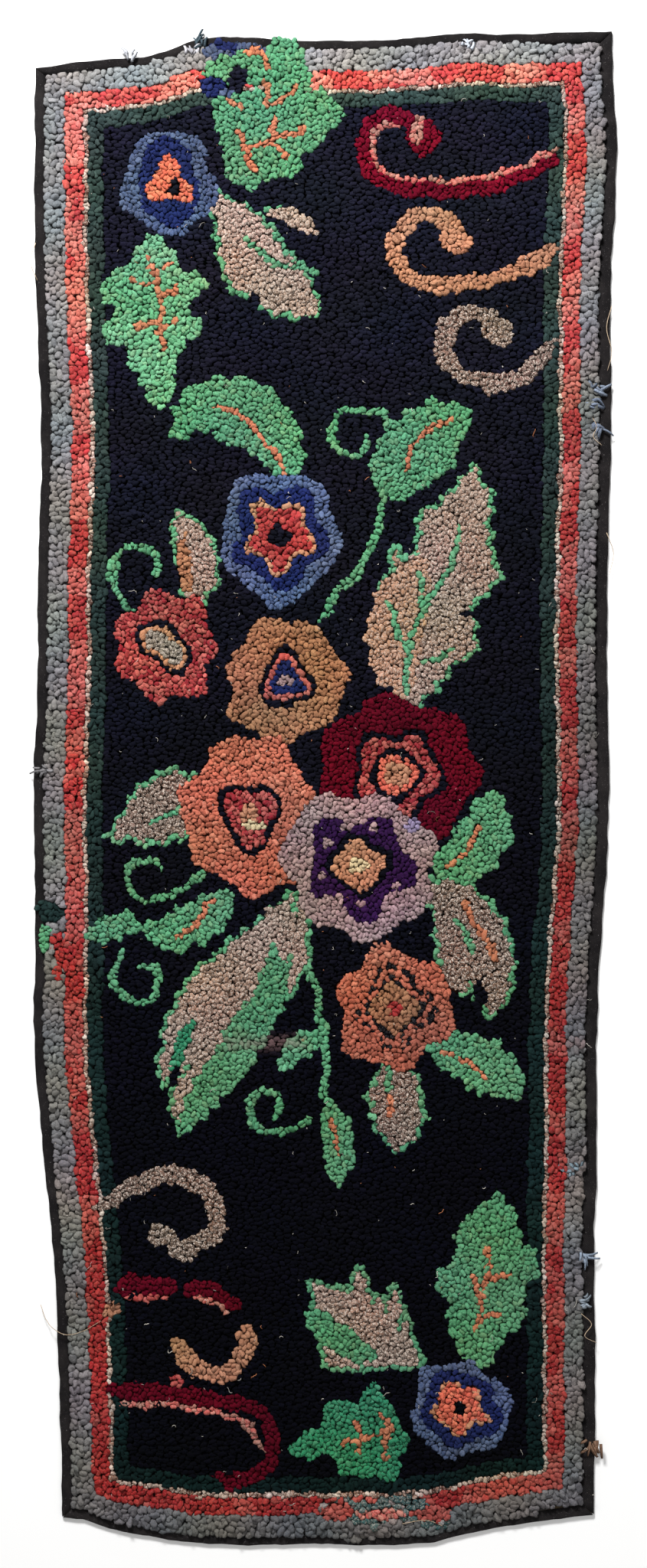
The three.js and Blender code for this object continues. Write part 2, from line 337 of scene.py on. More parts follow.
def chart_borders():
    """The bands that run round the rug, from the tape inwards."""
    inset = INSET + (1.5 * ripple(X, Y, 13, 0.4) + 1.3 * ripple(X, Y, 4, 1.9))
    redder = ripple(X, Y, 21, 1.0) + 0.6 * ripple(X, Y, 9, 4.0)
    redder = redder + np.interp(Y, [-700, -300], [1, 0]) * np.where(X < 0, 0.6, -0.4)
    lip = np.select([X > 250, X < -250, Y > 0], [LIP["right"], LIP["left"], LIP["top"]], LIP["bottom"])
    chart[INSET > lip - 1.2 + 1.7 * ripple(X, Y, 3.4, 2.4)] = NUMBER["grey"]
    chart[inset > CORAL_FROM] = NUMBER["coral"]
    chart[(inset > CORAL_FROM) & (redder > 0.15)] = NUMBER["red"]
    chart[inset > CREAM_FROM + 0.9 * ripple(X, Y, 2.5, 0.5)] = NUMBER["cream"]
    chart[inset > GREEN_FROM] = NUMBER["dark green"]
    chart[inset > GROUND_FROM] = NUMBER["ground"]


def chart_scrolls():
    """The scrolls at the upper right, and the hooks, dashes and scroll at the lower left."""
    tail = [(270, 738), (215, 712), (150, 701)]
    scroll("crimson", tail, (86, 756), (51, 24), (-92, -285), 8.3, ("pink", 0.75))
    blob("crimson", 114, 762, 20, 21, 3, 0.08, 20)
    blob("pink", 108, 771, 9, 17, 2, 0.1, 60)
    scroll("gold", [(268, 632), (222, 606), (170, 592)], (122, 634), (43, 36), (-95, -262), 10)
    leaf("gold", [(139, 650), (152, 643), (166, 630)], 15, 0.3)
    scroll("brown", [(264, 520), (232, 484), (196, 472)], (177, 524), (46, 27), (-80, -275), 10.5)
    blob("brown", 203, 533, 16, 16, turn=40)
    hook = [(-266, -492), (-221, -465), (-176, -453), (-136, -474), (-128, -515), (-162, -541), (-190, -526)]
    stroke("brown", hook, 10.5)
    blob("brown", -194, -524, 15, 14)
    stroke("crimson", [(-245, -588), (-222, -581), (-176, -586)], 10)
    stroke("coral", [(-236, -597), (-205, -596), (-184, -599)], 4)
    stroke("crimson", [(-160, -586), (-132, -590), (-101, -609)], 9)
    stroke("pink", [(-156, -595), (-136, -602), (-116, -613)], 3.6)
    blob("gold", -252, -613, 10, 9, 2, turn=20)
    stroke("gold", [(-176, -651), (-150, -680), (-116, -686), (-97, -664), (-91, -634)], 11)
    blob("rose", -175, -696, 8, 7)
    scroll("crimson", [(-251, -706), (-195, -709), (-140, -716)], (-108, -771), (52, 40), (96, -216), 9.2)
    stroke("pink", [(-243, -722), (-190, -723), (-140, -730), (-96, -744), (-73, -778)], 4)


def chart_tendrils():
    """The thin green tendrils and stems."""
    for tail, curl, radii, turn, half in (
        ([(72, 424), (68, 440)], (35, 412), (34, 16), (62, 300), 4.3),
        ([(-222, 203)], (-214, 256), (42, 15), (230, -260), 4.3),
        ([(-142, -100), (-170, -120)], (-208, -103), (30, 16), (290, -265), 4.3),
        ([(-236, -187)], (-217, -224), (33, 16), (165, 300), 4.3),
        ([(-18, -387), (-36, -399)], (-66, -373), (30, 11), (-90, -330), 4.8),
    ):
        scroll("green", tail, curl, radii, turn, half)
    stroke("green", [(71, 350), (62, 305), (42, 262), (14, 228), (-4, 196)], 4.6)
    stroke("green", [(-23, -206), (-10, -240), (-3, -280), (2, -320), (-1, -352), (3, -372)], 5)


def chart_upper_leaves():
    """The leaf that grows over the upper bands, the beige leaf below it and the pale one at the left."""
    leaf("blue", [(-142, 862), (-105, 866), (-70, 860)], 10, 0.3)
    leaf("navy", [(-138, 868), (-118, 871), (-98, 868)], 5, 0.3)
    blob("green", -80, 766, 52, 58, 4, 0.13, 235)
    leaves("green", [
        ([(-142, 838), (-105, 842), (-60, 842)], 22, 0.35),
        ([(-58, 876), (-42, 838), (-50, 800), (-66, 770)], 24, 0.25),
        ([(-70, 770), (-35, 778), (-4, 790), (18, 786)], 34, 0.5),
        ([(-70, 760), (-84, 730), (-86, 700)], 24, 0.7),
        ([(-60, 765), (-46, 735), (-36, 716)], 24, 0.6),
    ])
    blob("ground", -102, 831, 13, 15, 4, 0.08, 20)
    blob("navy", -131, 823, 14, 12, 3, 0.05)
    blob("blue", -116, 817, 9, 8, 3, 0.05)
    veins([
        ([(-92, 862), (-76, 862), (-66, 842)], 4.0),
        ([(-72, 830), (-66, 812), (-74, 801)], 3.6),
        ([(-74, 801), (-50, 806), (-32, 824)], 3.6),
        ([(-60, 790), (-62, 762), (-92, 750)], 3.8),
        ([(-62, 762), (-40, 765), (-22, 774)], 4.2),
        ([(-58, 754), (-44, 738)], 4),
        ([(-102, 774), (-93, 748), (-82, 724)], 3.8),
        ([(-112, 808), (-98, 797)], 3.8),
    ])

    leaf("beige", [(-128, 698), (-98, 645), (-56, 590), (-10, 554)], 42, 0.55, 1.5, 0.1, 1.1, "green")
    leaf("ground", [(-92, 558), (-84, 580)], 8, 0.6)
    stroke("green", [(-92, 646), (-70, 622), (-40, 612), (-6, 606)], 3.8)
    leaf("green", [(-72, 676), (-56, 676), (-40, 670)], 7, 0.6)
    leaf("beige", [(-68, 674), (-42, 671), (-12, 652)], 9, 0.6)

    leaf("pale green", [(-205, 650), (-201, 590), (-200, 510), (-196, 446)], 42, 0.9, belly=0.8)
    leaves("pale green", [
        ([(-214, 560), (-180, 585), (-138, 593)], 21, 0.5),
        ([(-214, 552), (-176, 546), (-142, 541)], 20, 0.5),
        ([(-196, 600), (-230, 592), (-262, 572)], 22, 0.5),
        ([(-196, 560), (-228, 545), (-256, 522)], 24, 0.5),
        ([(-198, 520), (-194, 480), (-188, 450)], 19, 0.6),
    ])
    stroke("rust", [(-206, 622), (-196, 580), (-193, 545), (-190, 512)], 3.1)
    for out, y, lift in ((-30, 588, 8), (26, 576, 12), (-28, 546, -8), (24, 538, 10), (14, 610, 6)):
        stroke("rust", [(-197, y), (-197 + out / 2, y + lift * 0.4), (-197 + out, y + lift)], 3.1, 0.1)


def chart_middle_leaves():
    """The leaves above and beside the wreath of flowers."""
    leaf("green", [(-184, 410), (-140, 446), (-88, 436), (-54, 398), (-36, 352)], 40, 0.75)
    leaf("green", [(66, 344), (92, 378), (130, 420), (170, 442)], 43, 0.55, 1, 0.05, 0.9)
    veins([
        ([(-134, 448), (-104, 440), (-78, 416), (-56, 388), (-46, 366)], 3.4),
        ([(93, 376), (106, 404), (126, 422), (146, 433)], 3.2),
    ])

    leaves("tan", [
        ([(80, 288), (86, 262), (90, 232)], 11),
        ([(112, 296), (110, 268), (106, 240)], 12),
    ], "green")
    leaf("beige", [(174, 378), (160, 310), (130, 220), (98, 94)], 58, 0.6, 3.2, 0.22, 1.1, "green")
    leaf("tan", [(112, 272), (90, 215), (80, 160), (92, 104)], 34)
    leaf("ground", [(156, 204), (168, 206), (182, 208)], 5, 0.6)
    veins([
        ([(94, 108), (98, 168), (118, 214), (144, 256), (158, 306)], 3.8),
        ([(98, 164), (82, 188), (74, 218)], 3.6),
        ([(112, 148), (132, 152), (148, 162)], 3.6),
        ([(112, 214), (114, 236), (106, 254)], 3.6),
    ], "green")

    leaf("beige", [(-174, 328), (-158, 290), (-148, 250), (-154, 208)], 26, 0.6, rim="green")
    leaf("camel", [(-164, 300), (-166, 262), (-156, 226)], 9)
    leaf("brown", [(-262, -60), (-222, -42), (-186, -22), (-132, 6)], 43, 0.8, belly=1.35, rim="green")
    stroke("green", [(-204, -40), (-182, -28), (-156, -8)], 3.6)
    leaf("green", [(-280, -176), (-246, -162), (-214, -160)], 18, 0.6)
    leaf("green", [(-214, -162), (-180, -168), (-144, -154), (-108, -122)], 26)
    leaf("green", [(118, -86), (156, -84), (184, -58), (196, -4)], 33, 0.55)
    veins([
        ([(-174, -176), (-156, -162), (-142, -144), (-130, -130)], 3.2),
        ([(140, -92), (157, -84), (171, -68), (184, -44)], 3.2),
    ])
    leaves("brown", [
        ([(108, -112), (156, -140), (186, -192), (197, -268)], 38),
        ([(140, -150), (154, -200), (160, -244)], 26),
    ], "green")
    leaf("brown", [(132, -138), (166, -180), (180, -230)], 24)
    leaf("ground", [(180, -262), (184, -222)], 8, 0.6)
    stroke("rust", [(162, -132), (176, -160), (192, -182), (199, -206)], 4.2)
    stroke("green", [(148, -150), (166, -172), (176, -198)], 3.2)


def chart_leaves_below():
    """The big beige leaf below the wreath, with its green strip, and the small leaves round it."""
    leaf("beige", [(-120, -240), (-146, -306), (-164, -368), (-170, -404)], 25, rim="green")
    leaf("beige", [(-28, -112), (-76, -184), (-142, -262), (-194, -348)], 40, 0.7, belly=1.3, rim="green")
    leaf("beige", [(-96, -226), (-132, -300), (-150, -350)], 24, 0.4)
    leaf("beige", [(-28, -122), (-30, -190), (-44, -250)], 13, 0.4, rim="green")
    leaf("beige", [(-46, -136), (-66, -190), (-88, -236)], 26, 0.4)
    leaf("green", [(-60, -182), (-66, -245), (-94, -294), (-130, -345), (-171, -408)], 24, 0.55, 2, 0.08)
    leaf("emerald", [(-158, -270), (-168, -300), (-180, -336)], 9, 0.6)
    leaf("ground", [(-176, -326), (-180, -350)], 5, 0.6)

    leaf("green", [(-54, -334), (-30, -304), (6, -284)], 15, 0.6)
    leaf("green", [(2, -366), (12, -400), (16, -434), (14, -468)], 19, 0.7)
    leaf("brown", [(80, -318), (82, -356), (86, -388), (84, -424)], 34, rim="green")
    stroke("green", [(75, -330), (74, -352)], 3.6)
    leaf("green", [(120, -304), (160, -314), (198, -332), (232, -364)], 31, 0.6)
    veins([
        ([(6, -388), (14, -408), (15, -434)], 3.2),
        ([(76, -358), (74, -384)], 3.4),
        ([(140, -306), (164, -320), (190, -340)], 3.2),
    ])


def chart_lower_leaves():
    """The three leaves near the lower end: beige and green, emerald, and green at the right."""
    patch("beige", [(-22, -574), (88, -596), (121, -681), (4, -687), (-18, -628)], "green")
    leaves("beige", [
        ([(36, -640), (40, -600), (39, -556)], 17, 0.6),
        ([(70, -650), (80, -620), (82, -580)], 13),
    ], "green")
    leaf("beige", [(-8, -588), (30, -612), (66, -632), (100, -670)], 16, 0.4)
    leaf("green", [(-24, -612), (4, -636), (34, -656), (62, -668)], 17)
    blob("emerald", 44, -758, 50, 44, 5, 0.12, 60)
    leaves("emerald", [
        ([(-40, -782), (-8, -766), (24, -764)], 17, 0.6),
        ([(58, -760), (58, -730), (54, -700)], 20, 0.6),
        ([(24, -762), (14, -742), (6, -724)], 17, 0.6),
        ([(60, -770), (72, -794), (80, -814)], 16, 0.6),
        ([(34, -770), (28, -790), (22, -810)], 14, 0.6),
    ])
    leaf("green", [(199, -470), (194, -550), (184, -612), (174, -690)], 54, 0.95, 3.4, 0.17, 0.95)
    veins([
        ([(18, -770), (44, -762), (82, -752)], 3.4),
        ([(30, -742), (42, -756), (36, -782)], 3.4),
        ([(62, -732), (72, -750), (70, -788)], 3.4),
        ([(192, -540), (188, -580), (182, -612), (176, -638)], 3.3),
        ([(186, -578), (206, -572), (218, -574)], 3.3),
        ([(182, -596), (172, -572)], 3.3),
        ([(178, -622), (206, -618)], 3.3),
    ])


def chart_flowers():
    """The flowers, from the upper end down."""
    flower(-184, 710, 57, 60, [
        ("blue", 1, 5, 0.07, 54), ("navy", 0.72, 2, 0.16, 90),
        ("salmon", 0.42, 3, 0.26, 90),
    ])
    blob("ground", -177, 704, 7, 9, turn=90)
    flower(-54, 296, 72, 74, [
        ("blue", 1, 5, 0.07, 56), ("navy", 0.77, 5, 0.13, 60), ("gold", 0.54, 5, 0.17, 55),
        ("red", 0.46, 5, 0.17, 55), ("ground", 0.18, 4, 0.05, 0),
    ])
    flower(-188, 166, 60, 62, [
        ("rose", 1, 7, 0.08, 0), ("ground", 0.49, 2, 0.24, 143),
        ("gold", 0.38, 2, 0.28, 143), ("ash", 0.28, 2, 0.4, 143),
    ])
    flower(-46, 126, 72, 70, [
        ("camel", 1, 7, 0.07, 60), ("ground", 0.46, 3, 0.14, 90), ("coral", 0.36, 3, 0.16, 90),
        ("navy", 0.27, 3, 0.2, 90), ("mauve", 0.12, 2, 0.2, 0),
    ])
    flower(84, 16, 96, 88, [
        ("crimson", 1, 7, 0.06, 100), ("ground", 0.58, 5, 0.1, 60), ("rose", 0.5, 5, 0.08, 60),
        ("ground", 0.33, 4, 0.06, 0), ("salmon", 0.25, 3, 0.05, 0), ("gold", 0.16, 3, 0.05, 0),
    ])
    flower(-88, -32, 78, 94, [
        ("orange", 1, 7, 0.07, 64), ("ground", 0.44, 3, 0.2, 270),
        ("rose", 0.36, 3, 0.22, 270), ("gold", 0.14, 3, 0.05, 0),
    ])
    blob("yellow", -82, -44, 13, 6, 2, 0)
    flower(40, -90, 88, 86, [
        ("mauve", 1, 7, 0.07, 20), ("purple", 0.67, 5, 0.16, 62), ("ground", 0.4, 4, 0.08, 10),
        ("gold", 0.32, 4, 0.1, 10), ("yellow", 0.14, 2, 0.1, 10),
    ])
    for turn in np.radians((70, 108, 142, 196, 240, 272, 330)):
        blob("mauve", 40 + 47 * np.cos(turn), -90 + 46 * np.sin(turn), 5.8, 5.8)
    blob("lilac", 102, -44, 9, 9, 3, 0.05)
    flower(81, -258, 70, 68, [
        ("orange", 1, 6, 0.09, 40), ("half dark", 0.64, 4, 0.13, 0), ("orange", 0.56, 4, 0.13, 0),
        ("half dark", 0.47, 4, 0.13, 0), ("camel", 0.39, 4, 0.12, 0), ("red", 0.11, 3, 0.05, 0),
    ])
    flower(158, -728, 57, 58, [
        ("blue", 1, 6, 0.06, 15), ("navy", 0.78, 5, 0.08, 50), ("gold", 0.52, 5, 0.16, 50),
        ("salmon", 0.46, 5, 0.16, 50), ("ground", 0.15, 3, 0.05, 0),
    ])


def chart_repairs():
    """Worn and re-hooked places in the bands."""
    leaf("teal", [(-4, -842), (40, -848), (90, -846), (150, -858)], 16, 0.4, 2, 0.3)
    leaf("coral", [(-6, -846), (12, -850), (32, -848)], 11, 0.6)
    leaf("pink", [(32, -850), (64, -853), (94, -850)], 7, 0.6)
    leaf("coral", [(96, -850), (122, -852), (150, -850)], 9, 0.6)
    leaf("cream", [(78, -826), (104, -825), (130, -828)], 2.6, 0.6)
    leaf("grey", [(-6, -872), (30, -876), (72, -872)], 8, 0.6)
    leaf("dark green", [(-338, -138), (-322, -146), (-306, -144)], 11, 0.4)
    blob("green", -329, -176, 8, 13, 2, turn=80)
    blob("red", -313, -192, 9, 26, 2, turn=90)


# How the loops share the face: the squares along a block's side, the squares searched each way from a
# loop, the rounds of spreading, and the sectors in which a loop's reach is measured
BLOCK = 8
WINDOW = 11
ROUNDS = 5
SECTORS = 8
# How the loops differ: drift within a square, the ground loops' turn in radians, stretch and weight.
# The least area of a loop in square millimetres, and its least reach as a share of its mean reach
JITTER = 0.4
GROUND_TURN = 0.25
STRETCH = (1.3, 2.3)
WEIGHT = (0.8, 1.25)
LEAST_AREA = 4
LEAST_REACH = 0.45


def seed_loops():
    """First places for the loops, by chance, as many as each wool's area holds."""
    places, wools = [], []
    for number, (area, *_rest) in enumerate(WOOLS.values()):
        cells = np.flatnonzero(chart == number)
        if not area or not len(cells):
            continue
        rows, cols = np.divmod(cells, chart.shape[1])
        blocks = (rows // BLOCK) * chart.shape[1] + cols // BLOCK
        cells = cells[np.argsort(blocks + rng.random(len(cells)))]
        count = max(1, int(len(cells) * PITCH**2 / area))
        steps = (np.arange(count) + rng.random(count)) * (len(cells) / count)
        places.append(cells[steps.astype(int)])
        wools.append(np.full(count, number))
    places, wools = np.concatenate(places), np.concatenate(wools)
    rows, cols = np.divmod(places, chart.shape[1])
    cols = cols + rng.uniform(-JITTER, JITTER, len(cols))
    rows = rows + rng.uniform(-JITTER, JITTER, len(rows))
    return cols, rows, wools


def share_face(cx, cy, wools, turn, long, weight):
    """The loop that owns each square, within its own wool, by a stretched distance."""
    high, wide = chart.shape
    flat = chart.ravel()
    best = np.full(flat.size, np.inf, np.float32)
    owner = np.full(flat.size, -1, np.int32)
    col, row = np.round(cx).astype(int), np.round(cy).astype(int)
    cos, sin = np.cos(turn), np.sin(turn)
    number = np.arange(len(cx))
    for oy in range(-WINDOW, WINDOW + 1):
        for ox in range(-WINDOW, WINDOW + 1):
            c, r = col + ox, row + oy
            ok = (c >= 0) & (c < wide) & (r >= 0) & (r < high)
            at = np.where(ok, r * wide + c, 0)
            dx, dy = c - cx, r - cy
            far = ((dx * cos + dy * sin) / long) ** 2 + ((dy * cos - dx * sin) * long) ** 2
            far = far * weight
            win = ok & (flat[at] == wools) & (far < best[at])
            best[at[win]] = far[win]
            owner[at[win]] = number[win]
    return owner


def lay_loops():
    """Spreads the loops evenly over the face, and measures each one."""
    cx, cy, wools = seed_loops()
    stretch = np.array([row[1] for row in WOOLS.values()])[wools]
    ground = wools == NUMBER["ground"]
    turn = np.where(ground, rng.normal(0, GROUND_TURN, len(cx)), rng.uniform(0, np.pi, len(cx)))
    long = np.sqrt(stretch * rng.uniform(*STRETCH, len(cx)))
    weight = rng.uniform(*WEIGHT, len(cx))
    for _ in range(ROUNDS):
        owner = share_face(cx, cy, wools, turn, long, weight)
        held = owner >= 0
        rows, cols = np.divmod(np.flatnonzero(held), chart.shape[1])
        mine = owner[held]
        count = np.bincount(mine, minlength=len(cx))
        safe = np.maximum(count, 1)
        cx = np.where(count > 0, np.bincount(mine, cols, len(cx)) / safe, cx)
        cy = np.where(count > 0, np.bincount(mine, rows, len(cx)) / safe, cy)
    angle = np.arctan2(rows - cy[mine], cols - cx[mine])
    far = np.hypot(rows - cy[mine], cols - cx[mine]) + 0.5
    sector = np.floor((angle - turn[mine]) / (2 * np.pi) * SECTORS).astype(int) % SECTORS
    reach = np.zeros((len(cx), SECTORS))
    np.maximum.at(reach, (mine, sector), far)
    least = LEAST_REACH * reach.mean(1, keepdims=True)
    reach = np.where(reach < least, least, reach)
    reach = 0.8 * reach + 0.1 * (np.roll(reach, 1, 1) + np.roll(reach, -1, 1))
    keep = count * PITCH**2 > LEAST_AREA
    x = XS[0] + cx * PITCH
    y = YS[0] + cy * PITCH
    return x[keep], y[keep], wools[keep], reach[keep] * PITCH, turn[keep]


def linear(shade):
    """An 8-bit sRGB shade as linear light."""
    c = np.asarray(shade, float) / 255
    return np.where(c <= 0.04045, c / 12.92, ((c + 0.055) / 1.055) ** 2.4)


# Dust along the worn fold line, between these places across the rug
SCUFF_Y, SCUFF_HALF, SCUFF_AMOUNT = -299, 7, 0.55
SCUFFED_FROM, SCUFFED_TO, SCUFFED_RIGHT = -118, -24, 285
DUST = (122, 96, 96)


def shades_for(x, y, wools):
    """Each loop's colour: a shade of its wool's mixture, uneven dye, dust on the fold line, and painted light
    and shade by place: mostly lighter towards the upper end, darker towards the lower end, and darker at the
    right side.
    """
    colour = np.zeros((len(x), 3))
    fleck = np.zeros(len(x))
    for name, (_area, _long, flecked, mixture) in WOOLS.items():
        mine = np.flatnonzero(wools == NUMBER[name])
        if not len(mine):
            continue
        shares = np.array([share for share, *_ in mixture], float)
        shares = shares / shares.sum()
        pick = rng.choice(len(mixture), len(mine), p=shares)
        dyed = linear([shade for _, *shade in mixture])
        colour[mine] = shares @ dyed + (dyed[pick] - shares @ dyed) * (1 if name in STREAKED else 0.5)
        fleck[mine] = flecked
    dye = 1 + 0.08 * rng.normal(size=len(x)) + 0.1 * ripple(x, y, 34, 0.8)
    drift = 0.12 * np.stack([ripple(x, y, 24, 0.3), 0.3 * ripple(x, y, 30, 2.0), ripple(x, y, 27, 4.4)], 1)
    colour *= np.clip(dye, 0.6, 1.5)[:, None] * (1 + drift)
    # Painted light falloff: each wool is painted paler or darker by its place along the rug
    for name, number in NUMBER.items():
        mine = wools == number
        falloffs = PAINTED_FALLOFFS.get(name, (EVEN_PAINTED_FALLOFFS.get(name, OTHER_PAINTED_FALLOFF),) * 3)
        for channel, amount in enumerate(falloffs):
            colour[mine, channel] *= np.interp(y[mine], STATIONS, amount)
    # Painted shade: the loops are darker towards the right side, most about the middle of the rug's length
    painted_side_shade = (0.12 + 0.24 * np.exp(-(((y - 20) / 300) ** 2))) * np.interp(x, [180, 290], [0, 1])
    colour *= (1 - painted_side_shade)[:, None]
    rubbed = (x > SCUFFED_FROM) & (x < SCUFFED_TO) | (x > SCUFFED_RIGHT)
    scuffed = np.exp(-(((y - SCUFF_Y) / SCUFF_HALF) ** 2)) * rubbed
    return colour + (linear(DUST) - colour) * SCUFF_AMOUNT * scuffed[:, None], fleck


def put(name, data):
    """A new object in the scene."""
    thing = bpy.data.objects.new(name, data)
    bpy.context.scene.collection.objects.link(thing)
    return thing


def add_mesh(name, points, faces, material, colour=None, fleck=None, strip=None):
    """Makes a smooth mesh of groups of faces, which are rows of point numbers."""
    mesh = bpy.data.meshes.new(name)
    mesh.vertices.add(len(points))
    mesh.vertices.foreach_set("co", (points * MM).astype(np.float32).ravel())
    corners = np.concatenate([f.ravel() for f in faces])
    sizes = np.concatenate([np.full(len(f), f.shape[1]) for f in faces])
    starts = np.concatenate([[0], np.cumsum(sizes)[:-1]])
    mesh.loops.add(len(corners))
    mesh.loops.foreach_set("vertex_index", corners.astype(np.int32))
    mesh.polygons.add(len(sizes))
    mesh.polygons.foreach_set("loop_start", starts.astype(np.int32))
    mesh.polygons.foreach_set("use_smooth", np.ones(len(sizes), bool))
    plan = mesh.uv_layers.new(name="OFBake")
    flat = (points[:, :2] - [XS[0], YS[0]]) / (YS[-1] - YS[0])
    plan.data.foreach_set("uv", flat[corners].astype(np.float32).ravel())
    if colour is not None:
        colour = np.column_stack([colour, np.ones(len(colour))])
    for key, kind, field, values in (
        ("strip", "FLOAT_VECTOR", "vector", strip),
        ("wool", "FLOAT_COLOR", "color", colour),
        ("fleck", "FLOAT", "value", fleck),
    ):
        if values is not None:
            layer = mesh.attributes.new(key, kind, "POINT")
            layer.data.foreach_set(field, values.astype(np.float32).ravel())
    mesh.update(calc_edges=True)
    mesh.validate()
    piece = put(name, mesh)
    mesh.materials.append(material)
    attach(piece, "root")
    return piece


# A loop's two rings, on the foundation and round its top edge: reach along its fold and across it, drop below
# its crest, and how deep it lies, which sets the painted shade in the crease between loops, where a crest is
# 0
RINGS = [(1.04, 1.04, None, 3.0), (1.0, 0.96, 0.85, 1.0)]
# How far its two crest points stand apart, as a share of its reach, and how far they stray
CREST_REACH = 0.42
CREST_STRAY = 0.3
CREST_SPREAD = 0.35
# How much loops differ in height, lean, tilt and outline, how much their edges crumple, and the dent in each
# one's edge: how deep, how far in, how much painted shade darkens it, and how narrow
TOP_SPREAD = 0.55
LEAN = 0.14
TILT = 0.24
EDGE_SPREAD = 0.06
CRUMPLE = 0.36
DENT_DOWN, DENT_IN, DENT_PAINTED_SHADE, DENT_NARROW = 1.2, 0.4, 0.25, 2.0
# How far in the loops stand on the tape, and how much lower their crests are near it
ON_TAPE = 19
RIM_INSETS, RIM_DROPS = [10, 16, 23], [2.4, 0.9, 0]
OVER_CLOTH = 0.1


def pile(name, chosen, loops, material, sides, relief):
    """A piece of pile: closed loops, each a strip of wool folded into a crest and squeezed by others."""
    x, y, reach, turn, colour, fleck, inset = [column[chosen] for column in loops]
    count = len(x)
    off = 0.25 if sides == SECTORS else 0.5
    around = (np.arange(sides)[None] + 0.5 + rng.uniform(-off, off, (count, 1))) / sides * 2 * np.pi
    middles = (np.arange(SECTORS) + 0.5) / SECTORS * 2 * np.pi
    spread = np.array([np.interp(a, middles, row, period=2 * np.pi) for a, row in zip(around, reach)])
    top = face_height(x, y) - np.interp(inset, RIM_INSETS, RIM_DROPS)
    top = top + relief * rng.normal(0, TOP_SPREAD, count)
    floor = np.where(inset < ON_TAPE, LIP_TOP + OVER_CLOTH, MARGIN_TOP + OVER_CLOTH)
    x, y, turn, top, floor = (column[:, None] for column in (x, y, turn, top, floor))
    angles = around + turn
    half_width = spread.mean(1, keepdims=True)
    lean = rng.normal(0, LEAN, (count, 2)) * half_width
    tilt = rng.normal(0, TILT * relief, (count, 2))
    each = len(RINGS) * sides + 2
    points = np.zeros((count, each, 3))
    shade = np.ones((count, each))
    edge = np.zeros((count, each))
    along = np.cos(around) ** 2
    dent = np.arange(sides)[None] - rng.integers(0, sides, (count, 1))
    dent = np.exp(-(dent**2) * DENT_NARROW) * rng.uniform(0.0, 1.0, (count, 1))
    for i, (far_along, far_across, drop, down) in enumerate(RINGS):
        span = slice(i * sides, (i + 1) * sides)
        out = spread * (far_across + (far_along - far_across) * along)
        # Painted shade: each loop's colour is darker in the dent of its edge
        shade[:, span] = 1 - DENT_PAINTED_SHADE * dent
        edge[:, span] = down
        lifted = drop is not None
        if lifted:
            out = out * (1 + rng.normal(0, EDGE_SPREAD, out.shape)) * (1 - DENT_IN * dent)
        points[:, span, 0] = x + out * np.cos(angles) + lean[:, :1] * lifted
        points[:, span, 1] = y + out * np.sin(angles) + lean[:, 1:] * lifted
        points[:, span, 2] = floor
        if lifted:
            slope = (points[:, span, 0] - x) * tilt[:, :1] + (points[:, span, 1] - y) * tilt[:, 1:]
            crumple = rng.normal(0, CRUMPLE * relief, out.shape)
            low = top - drop * (1.5 - along) - relief * DENT_DOWN * dent
            points[:, span, 2] = low + slope + crumple
    for end, way in ((-2, 1), (-1, -1)):
        step = way * CREST_REACH * half_width
        points[:, [end], 0] = x + lean[:, :1] + step * np.cos(turn) + rng.normal(0, CREST_STRAY, x.shape)
        points[:, [end], 1] = y + lean[:, 1:] + step * np.sin(turn) + rng.normal(0, CREST_STRAY, x.shape)
        points[:, [end], 2] = top + relief * rng.normal(0, CREST_SPREAD, x.shape)

    first = np.arange(count)[:, None, None] * each
    ring = np.arange(sides)
    after = (ring + 1) % sides
    last = (len(RINGS) - 1) * sides
    wall = np.stack([ring, after, last + after, last + ring], 1)
    crest = each - 2 + (np.cos((ring + 0.5) / sides * 2 * np.pi) < -1e-9)
    same = crest == crest[after]
    slopes = np.stack([last + ring, last + after, crest], 1)[same]
    ridge = np.stack([last + ring, last + after, crest[after], crest], 1)[~same]
    under = ring[None, ::-1]
    faces = [(first + part[None]).reshape(-1, part.shape[1]) for part in (wall, slopes, ridge, under)]

    cos, sin = np.cos(turn), np.sin(turn)
    dx, dy = points[:, :, 0] - x, points[:, :, 1] - y
    start = rng.uniform(0, 100, (count, 1))
    strip = np.stack([dx * cos + dy * sin + start, dy * cos - dx * sin + start, edge], 2)
    shades = np.repeat(colour, each, 0) * shade.reshape(-1, 1)
    return add_mesh(
        name, points.reshape(-1, 3), faces, material, shades, np.repeat(fleck, each), strip.reshape(-1, 3)
    )


# The burlap's colour, how much painted shade darkens its top under the pile, and how dark the stitches on its
# underside are
BURLAP = (150, 128, 98)
UNDER_PILE_PAINTED_SHADE = 0.25
STITCH_SHADE = 0.85


